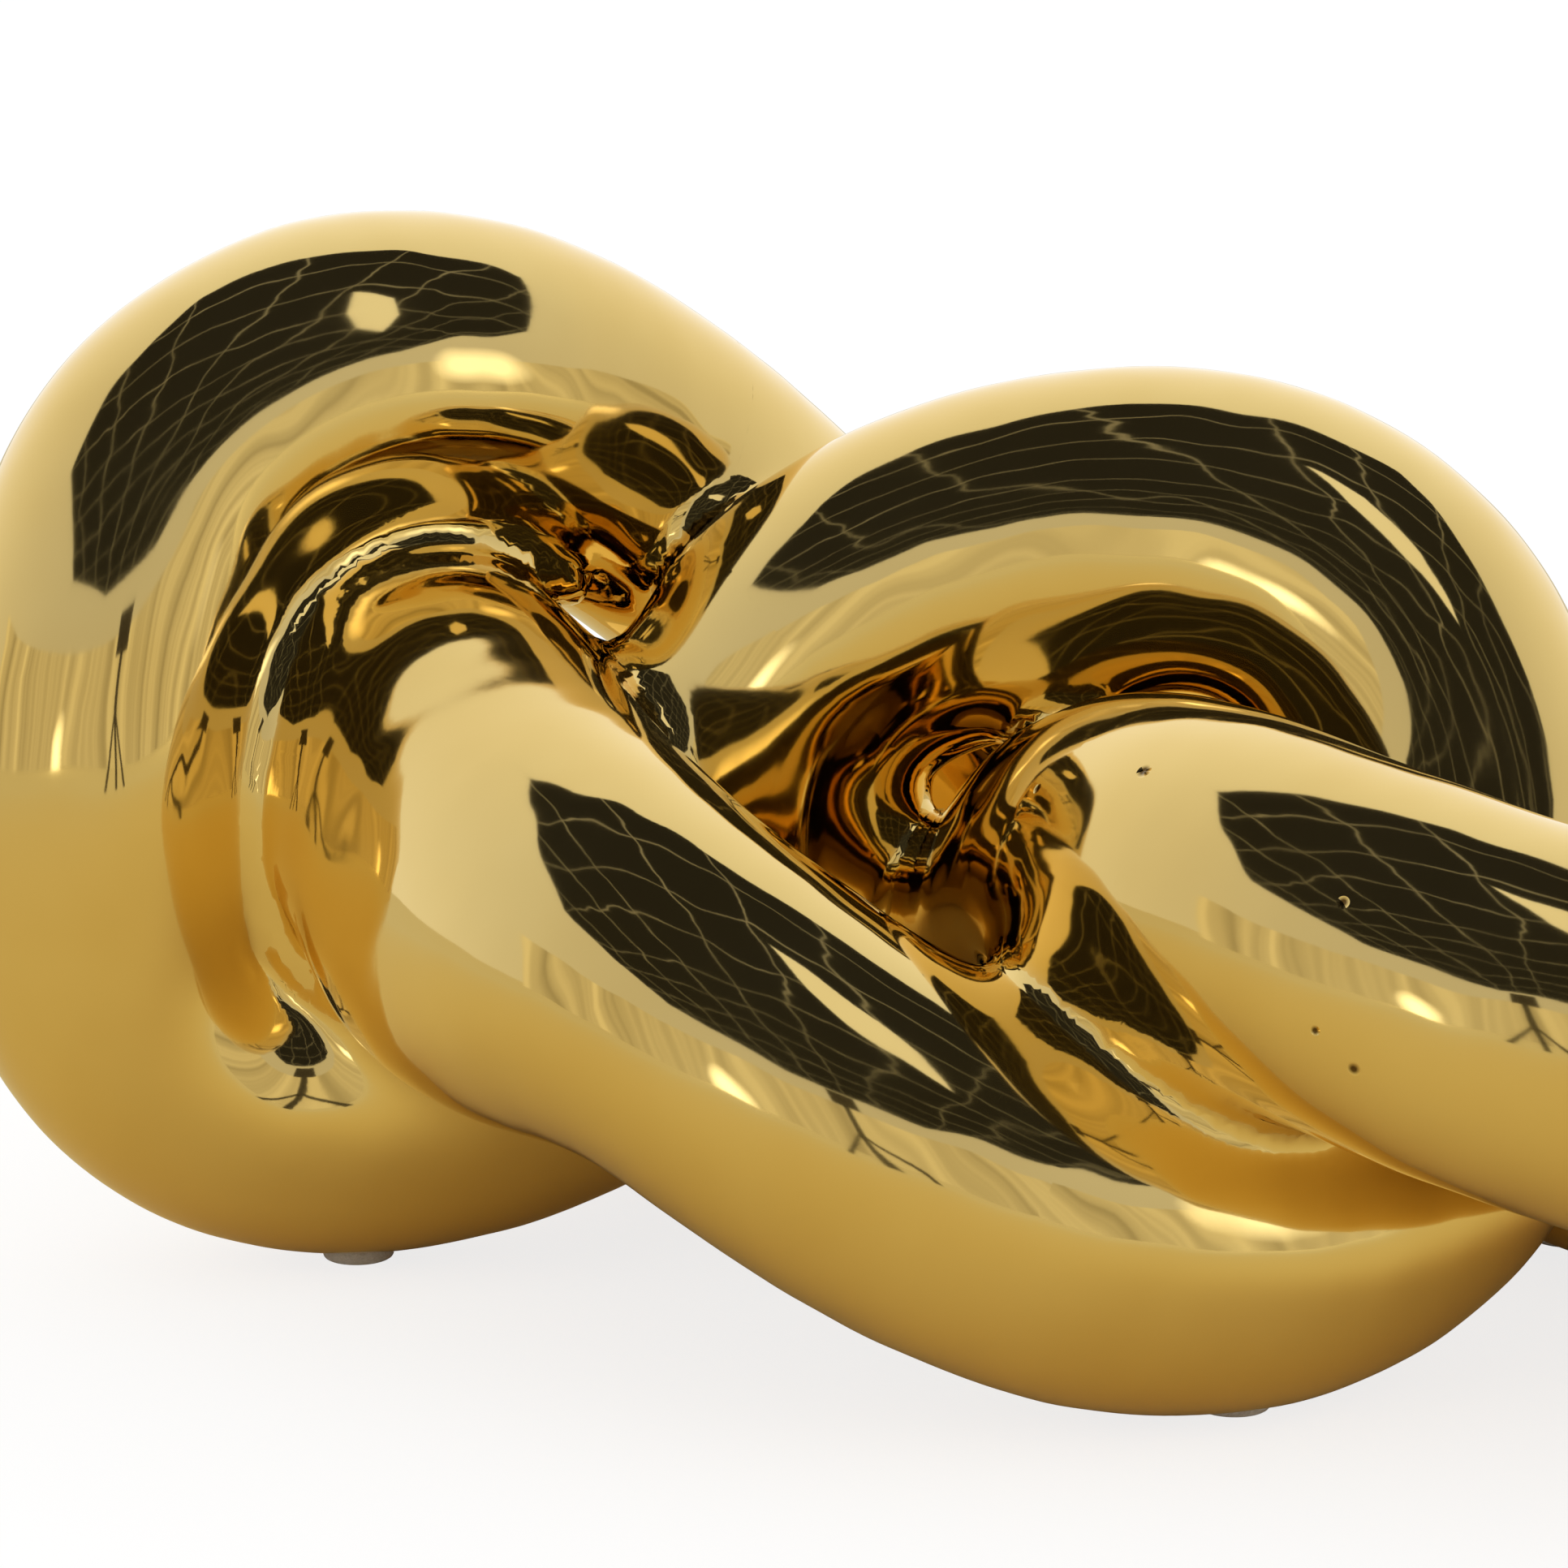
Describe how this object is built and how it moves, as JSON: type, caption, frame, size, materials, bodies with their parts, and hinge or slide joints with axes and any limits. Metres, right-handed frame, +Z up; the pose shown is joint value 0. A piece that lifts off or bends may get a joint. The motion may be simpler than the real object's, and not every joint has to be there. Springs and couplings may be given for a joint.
{
  "type": "ceramic knot sculpture",
  "caption": "Table ornament: a thick hollow ceramic tube tied in a closed overhand knot, cast in bends, luted together, covered in gold lustre and resting on felt pads.",
  "frame": {"origin": "on the table, under the middle of the knot's bounding box", "axes": "+X along the knot's length towards the right loop, +Y from the front strand to the back, +Z up"},
  "size_m": [0.2769, 0.1847, 0.1458],
  "materials": {
    "gold_lustre": "mirror-bright gold lustre over a smooth glaze, with faint ripples and a few pinholes",
    "slip": "unglazed fired slip inside the joints",
    "felt": "dense grey felt"
  },
  "bodies": {
    "root": {"left_loop_base": "gold_lustre", "middle_strand": "gold_lustre", "top_arch": "gold_lustre", "right_bend": "gold_lustre", "front_strand": "gold_lustre", "hook_bend": "gold_lustre", "back_bend": "gold_lustre", "inner_arch": "gold_lustre", "right_strand": "gold_lustre", "right_loop": "gold_lustre", "rear_strand": "gold_lustre", "left_loop_crown": "gold_lustre", "slip_ring_1": "slip", "slip_ring_2": "slip", "slip_ring_3": "slip", "slip_ring_4": "slip", "slip_ring_5": "slip", "slip_ring_6": "slip", "slip_ring_7": "slip", "slip_ring_8": "slip", "slip_ring_9": "slip", "slip_ring_10": "slip", "slip_ring_11": "slip", "slip_ring_12": "slip", "felt_pad_left": "felt", "felt_pad_front": "felt", "felt_pad_back": "felt", "felt_pad_right": "felt"}
  },
  "joints": []
}
